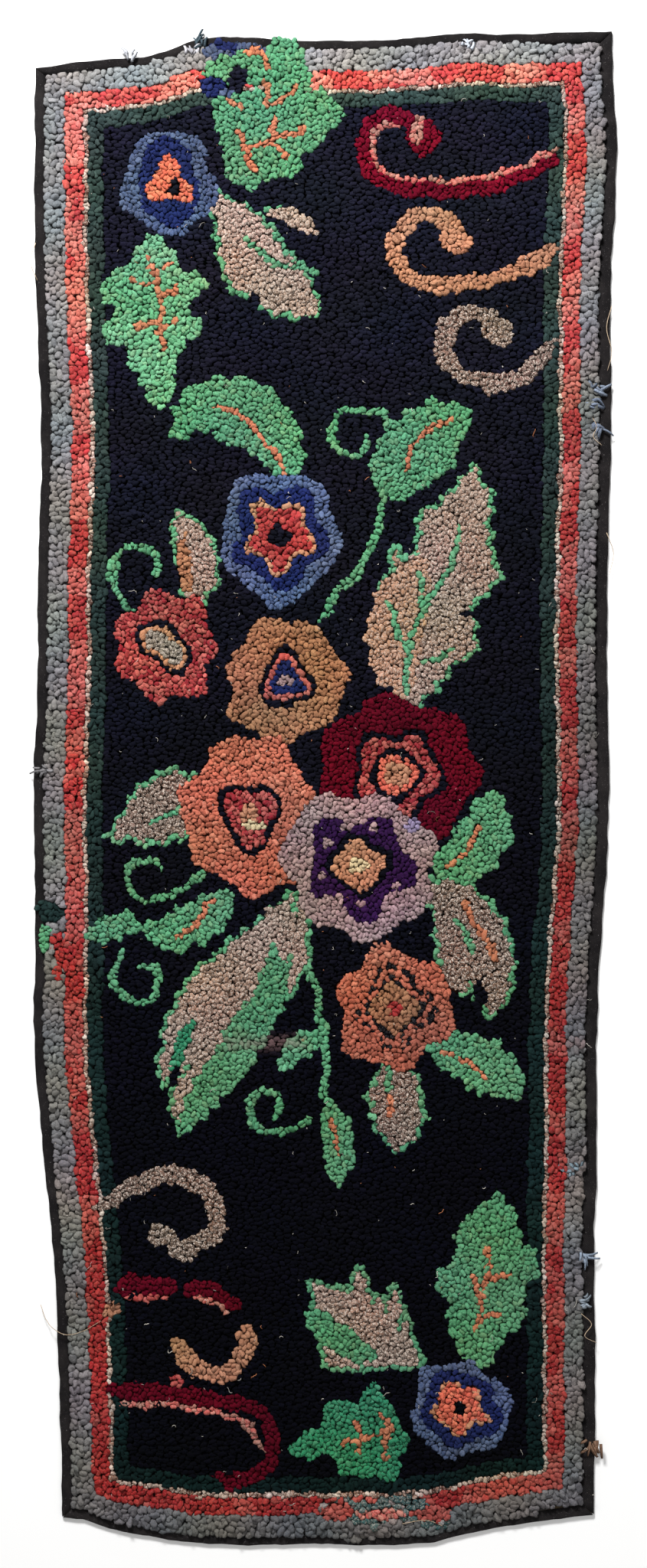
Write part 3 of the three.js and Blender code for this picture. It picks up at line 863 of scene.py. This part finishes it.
def foundation(material):
    """The burlap under the pile, over the tape's flaps, with the wool's flat stitches on its underside."""
    across, along = 45, 120
    u, v = np.meshgrid(np.linspace(0, 1, across + 1), np.linspace(0, 1, along + 1))
    margin = TAPE_THICK + 0.5
    x, y = place(u.ravel(), v.ravel(), margin, margin, margin, margin)
    inset = inset_at(x, y)
    low = np.interp(inset, [FLAP_WIDTH + 0.4, FLAP_WIDTH + 9], [HEM_TOP, 0.25]) + 0.12 * ripple(x, y, 3.1)
    top = np.column_stack([x, y, np.full(len(x), MARGIN_TOP)])
    below = np.column_stack([x, y, np.maximum(low, 0.05)])
    grid = np.arange(len(x)).reshape(along + 1, across + 1)
    quads = np.stack([grid[:-1, :-1], grid[:-1, 1:], grid[1:, 1:], grid[1:, :-1]], -1).reshape(-1, 4)
    edge = np.concatenate([grid[0, :-1], grid[:-1, -1], grid[-1, :0:-1], grid[:0:-1, 0]])
    ahead = np.roll(edge, -1)
    size = len(x)
    wall = np.stack([edge + size, ahead + size, ahead, edge], 1)
    col = np.clip(((x - XS[0]) / PITCH).astype(int), 0, len(XS) - 1)
    row = np.clip(((y - YS[0]) / PITCH).astype(int), 0, len(YS) - 1)
    under = np.tile(linear(BURLAP), (size, 1))
    for number, (_area, _long, _fleck, mixture) in enumerate(WOOLS.values()):
        mine = (chart[row, col] == number) & (inset > 12)
        if mixture:
            under[mine] = linear(mixture[0][1:]) * STITCH_SHADE
    points = np.concatenate([top, below])
    # Painted shade: the top, under the pile, is darkened; the underside keeps its own colour
    shades = np.concatenate([under * UNDER_PILE_PAINTED_SHADE, under])
    faces = [quads, (quads[:, ::-1] + size), wall]
    return add_mesh("foundation", points, faces, material, shades, np.zeros(2 * size), points * [1, 1, 0])


# How far short of the corners' mitre each tape ends, and the steps along a long tape and a short one
MITRE_GAP = 0.25
LONG_STEPS, SHORT_STEPS = 190, 80


def binding(side, material):
    """One side's tape: from its lip on the face, over the fold and under, and back on its inner face."""
    upright = side in ("left", "right")
    t = np.linspace(0, 1, (LONG_STEPS if upright else SHORT_STEPS) + 1)
    section = [
        (LIP[side] + 1.5, LIP_TOP - 0.1), (6, LIP_TOP), (3, LIP_TOP), (1.4, LIP_TOP - 0.05),
        (0.5, LIP_TOP - 0.35), (0.05, LIP_TOP - 1.1), (0, 1.9), (0.1, 1.0), (0.5, 0.3), (1.4, 0.02), (12, 0),
        (FLAP_WIDTH, 0), (FLAP_WIDTH, TAPE_THICK), (12, TAPE_THICK), (TAPE_THICK, TAPE_THICK + 0.1),
        (TAPE_THICK, LIP_UNDER), (6, LIP_UNDER), (LIP[side] + 1.5, LIP_UNDER),
    ]
    points = []
    for inset, height in section:
        insets = {name: inset + (MITRE_GAP if name != side else 0) for name in LIP}
        u = {"left": 0 * t, "right": 0 * t + 1, "top": 1 - t, "bottom": t}[side]
        v = {"left": 1 - t, "right": t, "top": 0 * t + 1, "bottom": 0 * t}[side]
        x, y = place(u, v, **insets)
        outer = np.clip(1 - inset / 4, 0, 1)
        pucker = 0.9 * ripple(x, y, 19, 0.2) + 0.6 * ripple(x, y, 7, 1.0) + 0.4 * ripple(x, y, 2.6, 3.0)
        bulge = pucker * outer * (-1 if side in ("left", "bottom") else 1)
        x, y = (x + bulge, y) if upright else (x, y + bulge)
        rumple = 0.22 * ripple(x, y, 3.6, 2.0) * (height > LIP_UNDER)
        points.append(np.column_stack([x, y, np.full(len(x), height) + rumple]))
    points = np.stack(points, 1)
    size = points.shape[1]
    grid = np.arange(points.shape[0] * size).reshape(-1, size)
    ahead = np.roll(grid, -1, 1)
    quads = np.stack([grid[:-1], ahead[:-1], ahead[1:], grid[1:]], -1).reshape(-1, 4)
    half = size // 2
    ends = []
    for row, flip in ((grid[0], True), (grid[-1], False)):
        pairs = np.stack([row[:half - 1], row[1:half], row[::-1][1:half], row[::-1][:half - 1]], 1)
        ends.append(pairs[:, ::-1] if flip else pairs)
    return add_mesh("tape_" + side, points.reshape(-1, 3), [quads] + ends, material)


TUBE_TURNS = (0, 2.1, 4.2)
TUBE_TAPER = 0.3
TUBE_FLAT = 0.7


def tubes(name, lines, radii, colours, material):
    """Loose threads and strip ends: three-sided tubes along lines, thinner towards their ends.
    A wide one is flat, and no thicker than a strip of wool."""
    points, quads, caps, tints = [], [], [], []
    base = 0
    for line, radius, colour in zip(lines, radii, colours):
        ahead = np.gradient(line, axis=0)
        ahead /= np.linalg.norm(ahead, axis=1, keepdims=True) + 1e-9
        side = np.cross(ahead, (0.02, 0.03, 1))
        side /= np.linalg.norm(side, axis=1, keepdims=True) + 1e-9
        up = np.cross(side, ahead)
        count = len(line)
        thick = radius * (1 - TUBE_TAPER * np.linspace(0, 1, count) ** 2)[:, None]
        for turn in TUBE_TURNS:
            wall = side * np.cos(turn) + up * np.sin(turn) * min(1, TUBE_FLAT / radius)
            points.append(line + thick * wall)
        rings = base + np.arange(3)[None] * count + np.arange(count)[:, None]
        beside_it = np.roll(rings, -1, 1)
        quads.append(np.stack([rings[:-1], beside_it[:-1], beside_it[1:], rings[1:]], -1).reshape(-1, 4))
        caps.append([rings[0][::-1], rings[-1]])
        tints.append(np.tile(colour, (3 * count, 1)))
        base += 3 * count
    every = np.concatenate(points)
    faces = [np.concatenate(quads), np.concatenate(caps)]
    tints = np.concatenate(tints)
    return add_mesh(name, every, faces, material, tints, np.zeros(len(every)), every * [1, 1, 0])


# Frayed strip ends that stick out of the pile: place, which way in degrees, reach and shade
FRAYED = [
    (-228, 858, 95, 13, (176, 178, 184)),
    (-155, 862, 85, 15, (186, 184, 190)),
    (-148, 872, 62, 19, (70, 84, 92)),
    (169, 868, 90, 12, (196, 202, 212)),
    (318, 467, 20, 17, (122, 132, 148)),
    (314, 455, -12, 13, (112, 122, 140)),
    (316, 425, -60, 18, (120, 130, 148)),
    (294, -448, 150, 12, (116, 132, 142)),
    (302, -548, -10, 20, (150, 164, 182)),
    (301, -604, 5, 13, (140, 150, 160)),
    (-328, 19, 178, 14, (120, 118, 120)),
    (312, -768, -80, 20, (126, 98, 80)),
]
FRAYED_STRIPS = 8
FRAYED_HEIGHT = 7.6
# Longer threads that lie over the borders, as points, and the part of the rug where they lie on the pile
THREADS = [
    [(-334, -606), (-326, -626), (-306, -640), (-284, -636), (-263, -624)],
    [(312, 436), (318, 424), (314, 412), (324, 402)],
    [(336, 566), (330, 540), (336, 512), (331, 490)],
    [(330, 300), (338, 276), (333, 250)],
    [(300, -616), (312, -628), (304, -642), (318, -650)],
    [(-340, 640), (-346, 618), (-338, 596)],
    [(90, -862), (118, -858), (140, -866)],
]
THREAD_RADIUS = 0.45
THREAD_SHADE = (208, 184, 156)
THREAD_LOW = 5.6
ON_PILE_X, ON_PILE_Y = 325, 865
LINT_COUNT = 380
LINT_X, LINT_Y = 318, 850
PALE_LINT = (206, 200, 190)
TAN_LINT = (190, 122, 84)


def loose_ends(material):
    """The frayed strip ends, the long threads, and lint caught in the pile."""
    lines, radii, shades = [], [], []
    t = np.linspace(0, 1, 6)
    for x, y, toward, reach, shade in FRAYED:
        for _ in range(FRAYED_STRIPS):
            way = np.radians(toward + rng.normal(0, 32))
            far = reach * rng.uniform(0.4, 0.95)
            bend = rng.normal(0, 3.5) * t**2
            start_x, start_y = x + rng.normal(0, 4.5), y + rng.normal(0, 3.5)
            across = start_x + far * t * np.cos(way) - bend * np.sin(way)
            along = start_y + far * t * np.sin(way) + bend * np.cos(way)
            lines.append(np.stack([across, along, FRAYED_HEIGHT + 2.6 * np.sin(np.pi * t) - 2.8 * t**2], 1))
            radii.append(rng.uniform(1.5, 2.8))
            shades.append(linear(shade) * rng.uniform(0.7, 1.25))
    for points in THREADS:
        line = curve(points, 6)
        on_pile = (np.abs(line[:, 0]) < ON_PILE_X) & (np.abs(line[:, 1]) < ON_PILE_Y)
        height = np.where(on_pile, face_height(line[:, 0], line[:, 1]) + 0.5, THREAD_LOW)
        lines.append(np.column_stack([line, height]))
        radii.append(THREAD_RADIUS)
        shades.append(linear(THREAD_SHADE))
    for _ in range(LINT_COUNT):
        x, y = rng.uniform(-LINT_X, LINT_X), rng.uniform(-LINT_Y, LINT_Y)
        turns = np.cumsum(rng.normal(0, 0.7, 6)) + rng.uniform(0, 2 * np.pi)
        step = rng.exponential(0.55) + 0.3
        line = np.column_stack([x + np.cumsum(step * np.cos(turns)), y + np.cumsum(step * np.sin(turns))])
        height = face_height(line[:, 0], line[:, 1]) + 0.3 + 0.6 * np.sin(np.pi * t)
        lines.append(np.column_stack([line, height]))
        radii.append(rng.uniform(0.2, 0.42))
        shades.append(linear(PALE_LINT if rng.random() < 0.8 else TAN_LINT) * rng.uniform(0.6, 1.2))
    return tubes("loose_ends", lines, radii, shades, material)


def principled(name):
    """A new node material and its shader."""
    material = bpy.data.materials.new(name)
    material.use_nodes = True
    shader = material.node_tree.nodes["Principled BSDF"]
    return material, material.node_tree, shader


def node(tree, kind, **values):
    """A shader node of some kind, with some of its inputs and settings filled in."""
    made = tree.nodes.new("ShaderNode" + kind)
    for key, value in values.items():
        if key in made.inputs:
            made.inputs[key].default_value = value
        else:
            setattr(made, key, value)
    return made


def mixed(tree, kind, amount, a, b):
    """A colour mix. amount, a and b are sockets or plain values."""
    made = node(tree, "Mix")
    made.data_type = "RGBA"
    made.blend_type = kind
    for socket, value in ((made.inputs[0], amount), (made.inputs[6], a), (made.inputs[7], b)):
        if isinstance(value, bpy.types.NodeSocket):
            tree.links.new(value, socket)
        else:
            socket.default_value = value
    return made.outputs[2]


def fed(tree, vector, kind, output="Fac", **values):
    """One output of a node whose vector comes from a socket."""
    made = node(tree, kind, **values)
    tree.links.new(vector, made.inputs["Vector"])
    return made.outputs[output]


def bump(tree, height, strength, distance, under=None):
    """The normal of a bump, over another one where there is one."""
    made = node(tree, "Bump", Strength=strength, Distance=distance)
    tree.links.new(height, made.inputs["Height"])
    if under:
        tree.links.new(under, made.inputs["Normal"])
    return made.outputs["Normal"]


def reached(tree, value, low, high, out_low=0.0, out_high=1.0):
    """A value taken from one range to another."""
    made = node(tree, "MapRange")
    tree.links.new(value, made.inputs["Value"])
    for key, number in (("From Min", low), ("From Max", high), ("To Min", out_low), ("To Max", out_high)):
        made.inputs[key].default_value = number
    return made.outputs["Result"]


def finish(shader, **values):
    """Sets values on the shader's own sockets. A name's underscores stand for spaces."""
    for key, value in values.items():
        shader.inputs[key.replace("_", " ")].default_value = value


DARK_FLECK = (0.085, 0.055, 0.042, 1)
PALE_FLECK = (0.6, 0.52, 0.45, 1)
PAINTED_CREASE_SHADE = (0.1, 0.1, 0.1, 1)


def wool_material():
    """Wool flannel in strips: its weave and wrinkles, uneven dye, tweed flecks, a soft nap, and painted shade
    in the creases between loops.
    """
    material, tree, shader = principled("hooked_wool")
    link = tree.links.new
    dye = node(tree, "Attribute", attribute_name="wool")
    fleck = node(tree, "Attribute", attribute_name="fleck")
    strip = node(tree, "Attribute", attribute_name="strip").outputs["Vector"]
    spots = fed(tree, strip, "TexVoronoi", "Color", Scale=0.95)
    cloud = fed(tree, strip, "TexNoise", Scale=0.8, Detail=4.0, Roughness=0.65)
    uneven = reached(tree, cloud, 0.3, 0.7, 0.72, 1.26)
    grey = node(tree, "CombineColor")
    for channel in grey.inputs:
        link(uneven, channel)
    base = mixed(tree, "MULTIPLY", 1.0, dye.outputs["Color"], grey.outputs["Color"])
    # Painted shade in the creases between loops: the colour darkens down each loop's wall, by its depth below
    # the crest
    down = fed(tree, strip, "SeparateXYZ", "Z")
    crease = reached(tree, down, 0.84, 1.3, 0.0, 0.64)

    tone = node(tree, "SeparateColor")
    link(spots, tone.inputs["Color"])
    pale = reached(tree, tone.outputs["Red"], 0.66, 0.72)
    dark = reached(tree, tone.outputs["Green"], 0.68, 0.74)
    for spot, shade in ((dark, DARK_FLECK), (pale, PALE_FLECK)):
        amount = node(tree, "Math", operation="MULTIPLY")
        link(spot, amount.inputs[0])
        link(fleck.outputs["Fac"], amount.inputs[1])
        base = mixed(tree, "MIX", amount.outputs[0], base, shade)
    base = mixed(tree, "MULTIPLY", crease, base, PAINTED_CREASE_SHADE)
    link(base, shader.inputs["Base Color"])

    ribs = fed(tree, strip, "TexWave", Scale=0.55, Distortion=2.2, Detail=2.0, bands_direction="Y")
    wrinkles = fed(tree, strip, "TexNoise", Scale=0.3, Detail=5.0, Roughness=0.62)
    coarse = bump(tree, wrinkles, 0.9, 0.0021)
    link(bump(tree, ribs, 0.3, 0.0003, coarse), shader.inputs["Normal"])
    finish(shader, Roughness=0.92, Specular_IOR_Level=0.05, Sheen_Weight=0.01, Sheen_Roughness=0.45)
    return material


TAPE_BLACK = (0.006, 0.005, 0.0055, 1)
TAPE_WORN = (0.02, 0.017, 0.017, 1)
TAPE_LINT = (0.14, 0.13, 0.13, 1)


def tape_material():
    """Black twill tape: diagonal ribs, lint, and dusty rubbed patches."""
    material, tree, shader = principled("twill_tape")
    link = tree.links.new
    place_in = node(tree, "TexCoord").outputs["Object"]
    dust = fed(tree, place_in, "TexNoise", Scale=26.0, Detail=6.0, Roughness=0.7)
    worn = reached(tree, dust, 0.42, 0.75)
    lint = fed(tree, place_in, "TexNoise", Scale=900.0, Detail=2.0)
    specks = reached(tree, lint, 0.68, 0.76)
    base = mixed(tree, "MIX", worn, TAPE_BLACK, TAPE_WORN)
    link(mixed(tree, "MIX", specks, base, TAPE_LINT), shader.inputs["Base Color"])
    twill = fed(tree, place_in, "TexWave", Scale=260.0, Distortion=0.6, bands_direction="DIAGONAL")
    rumple = bump(tree, dust, 0.5, 0.0012)
    link(bump(tree, twill, 0.6, 0.0002, rumple), shader.inputs["Normal"])
    finish(shader, Roughness=0.85, Specular_IOR_Level=0.12, Sheen_Weight=0.02)
    return material


# The studio, in metres and watts: the floor, each light's place, aim, size and power, and the camera
FLOOR_HALF = 6.0
FLOOR_Z = -0.0006
LIGHTS = {
    "key": ((-0.9, 3.0, 2.4), (0, 0, 0), 0.8, 245),
    "fill": ((0.9, -1.2, 2.4), (0, -0.5, 0), 1.8, 16),
}
SKY = (1.0, 0.99, 0.98, 1)
SKY_STRENGTH = 0.3
CAMERA_AT = (-0.00225, 0.005, 3.2)
CAMERA_LENS = 62.5


def pale_floor():
    """A plain pale floor just under the rug."""
    mesh = bpy.data.meshes.new("floor")
    far = FLOOR_HALF
    mesh.from_pydata([(-far, -far, 0), (far, -far, 0), (far, far, 0), (-far, far, 0)], [], [(0, 1, 2, 3)])
    floor = put("floor", mesh)
    floor.location.z = FLOOR_Z
    paper, tree, shader = principled("pale_floor")
    grain = node(tree, "TexNoise", Scale=3.0, Detail=3.0)
    tone = mixed(tree, "MIX", grain.outputs["Fac"], (0.92, 0.92, 0.915, 1), (0.95, 0.95, 0.945, 1))
    tree.links.new(tone, shader.inputs["Base Color"])
    finish(shader, Roughness=0.9)
    mesh.materials.append(paper)


def studio():
    """The pale floor, soft light that is stronger at the rug's upper end, and the camera overhead."""
    pale_floor()
    world = bpy.data.worlds.new("studio")
    world.use_nodes = True
    sky = world.node_tree.nodes["Background"].inputs
    sky["Color"].default_value = SKY
    sky["Strength"].default_value = SKY_STRENGTH
    bpy.context.scene.world = world
    bpy.context.scene.view_settings.view_transform = "Standard"

    for name, (place_at, aim, size, power) in LIGHTS.items():
        light = bpy.data.lights.new(name, "AREA")
        light.shape = "SQUARE"
        light.size = size
        light.energy = power
        lamp = put(name, light)
        lamp.location = place_at
        lamp.rotation_euler = (Vector(aim) - Vector(place_at)).to_track_quat("-Z", "Y").to_euler()

    camera = bpy.data.cameras.new("camera")
    camera.lens = CAMERA_LENS
    camera.clip_end = 50
    eye = put("camera", camera)
    eye.location = CAMERA_AT
    bpy.context.scene.camera = eye


def hook_rug():
    """Hooks the whole pile and lays it on its foundation."""
    wool = wool_material()
    x, y, wools, reach, turn = lay_loops()
    colour, fleck = shades_for(x, y, wools)
    loops = (x, y, reach, turn, colour, fleck, inset_at(x, y))
    bands = [NUMBER[name] for name in ("grey", "coral", "red", "cream", "dark green")]
    grey = wools == NUMBER["grey"]
    ground = wools == NUMBER["ground"]
    # Each kind of pile: its loops, their sides, how rough it is, and where along the rug it is cut in pieces
    kinds = {
        "rim": (grey, 10, 1.1, [-1000, 0, 1000]),
        "bands": (np.isin(wools, bands) & ~grey, 8, 1.0, [-1000, 0, 1000]),
        "ground": (ground, 6, 0.75, [-1000, 0, 1000]),
        "motifs": (~np.isin(wools, bands) & ~ground, 8, 1.0, [-1000, -300, 0, 300, 1000]),
    }
    pieces = []
    for kind, (mine, sides, relief, cuts) in kinds.items():
        for part, (low, high) in enumerate(zip(cuts, cuts[1:])):
            chosen = mine & (y >= low) & (y < high)
            pieces.append(pile(f"pile_{kind}_{part + 1}", chosen, loops, wool, sides, relief))
    pieces.append(loose_ends(wool))
    return foundation(wool), pieces


chart_borders()
chart_scrolls()
chart_tendrils()
chart_upper_leaves()
chart_middle_leaves()
chart_leaves_below()
chart_lower_leaves()
chart_flowers()
chart_repairs()

studio()
cloth, pieces = hook_rug()
twill = tape_material()
tapes = {side: binding(side, twill) for side in ("left", "right", "top", "bottom")}

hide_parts("hooked_cloth")
for side, tape in tapes.items():
    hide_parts("binding_" + side)
